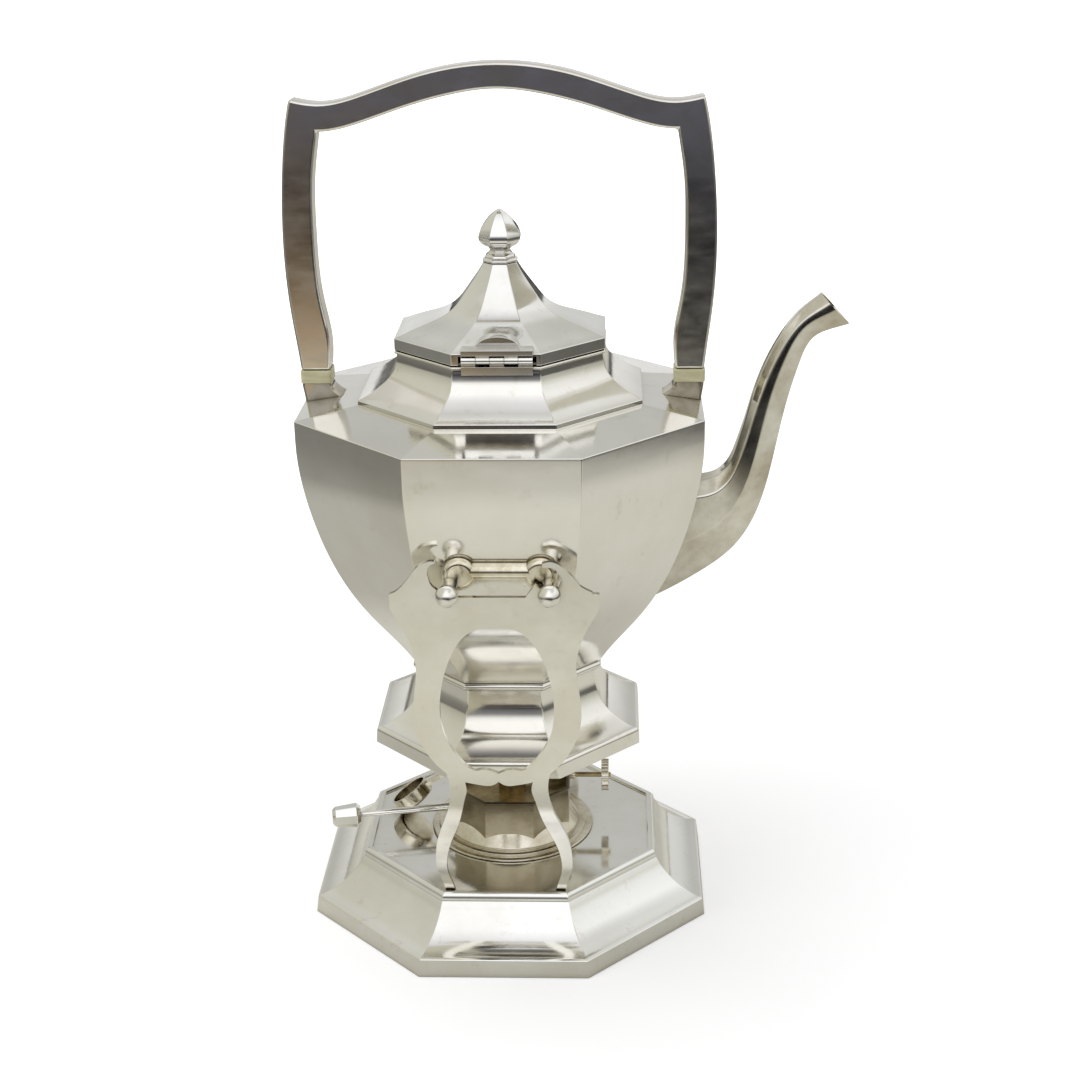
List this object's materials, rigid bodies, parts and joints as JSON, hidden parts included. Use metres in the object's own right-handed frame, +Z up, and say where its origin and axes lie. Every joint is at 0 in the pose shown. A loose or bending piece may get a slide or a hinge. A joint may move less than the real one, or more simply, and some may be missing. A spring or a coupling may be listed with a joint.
{
  "type": "tilting kettle on stand",
  "caption": "Octagonal silver-plated tea kettle with a hinged lid and bail handle, tilting on pins in a stand over a spirit lamp.",
  "frame": {"origin": "centre of the flat underside of the stand, on the axis of the octagons, at table level", "axes": "+Z up, +X towards the spout, -Y towards the front with the lid hinge"},
  "size_m": [0.2088, 0.1764, 0.3307],
  "materials": {
    "silver_plate": "polished silver plate on brass",
    "stand_silver": "polished silver plate, slightly worn",
    "handle_silver": "polished silver plate",
    "insulator": "polished ivory-coloured ring",
    "burner_brass": "heat-darkened brass",
    "wick_cotton": "woven cotton wick"
  },
  "bodies": {
    "stand": {"base_shell": "stand_silver", "base_plate": "stand_silver", "lamp_well": "stand_silver", "front_upright": "stand_silver", "rear_upright": "stand_silver"},
    "kettle": {"kettle_bowl": "silver_plate", "kettle_shoulder": "silver_plate", "neck_ring": "silver_plate", "kettle_foot": "silver_plate", "spout": "silver_plate", "front_bracket": "silver_plate", "rear_bracket": "silver_plate", "pivot_pins": "silver_plate", "rest_pins": "silver_plate", "left_socket": "silver_plate", "right_socket": "silver_plate", "left_insulator": "insulator", "right_insulator": "insulator", "handle": "handle_silver", "body_hinge_leaf": "silver_plate", "hinge_pin": "silver_plate"},
    "lid": {"lid_shell": "silver_plate", "lid_bezel": "silver_plate", "finial": "silver_plate", "finial_nut": "burner_brass", "lid_hinge_leaf": "silver_plate"},
    "lamp": {"lamp_drum": "silver_plate", "burner_plate": "burner_brass", "wick_tube": "burner_brass", "lamp_handle": "silver_plate", "lamp_knob": "silver_plate", "snuffer_bracket": "silver_plate", "snuffer_pin": "silver_plate", "spindle_gland": "silver_plate"},
    "snuffer": {"snuffer_cap": "silver_plate", "snuffer_arm": "silver_plate"},
    "winder": {"winder_spindle": "burner_brass", "winder_wheel": "silver_plate", "winder_pinion": "burner_brass"},
    "wick": {"wick": "wick_cotton"}
  },
  "joints": [
    {"name": "kettle_tilt", "type": "hinge", "parent": "stand", "child": "kettle", "pos_m": [0.0195, 0, 0.1592], "axis": [0, 1, 0], "range_deg": [0, 55]},
    {"name": "lid_hinge", "type": "hinge", "parent": "kettle", "child": "lid", "pos_m": [0.0005, -0.0404, 0.2316], "axis": [1, 0, 0], "range_deg": [0, 105]},
    {"name": "lamp_lift", "type": "slide", "parent": "stand", "child": "lamp", "axis": [0, 0, 1], "range_m": [0, 0.014]},
    {"name": "snuffer_hinge", "type": "hinge", "parent": "lamp", "child": "snuffer", "pos_m": [-0.02364, 0.00417, 0.0468], "axis": [0.1736, 0.9848, 0], "range_deg": [0, 217]},
    {"name": "winder_turn", "type": "hinge", "parent": "lamp", "child": "winder", "pos_m": [0.0382, 0.007, 0.0418], "axis": [1, 0, 0], "range_deg": [-31, 78]},
    {"name": "wick_raise", "type": "slide", "parent": "lamp", "child": "wick", "axis": [0, 0, 1], "range_m": [-0.003, 0.0012]}
  ],
  "couplings": [
    {"joint": "wick_raise", "follows": "winder_turn", "m_per_rad": -0.0022}
  ]
}
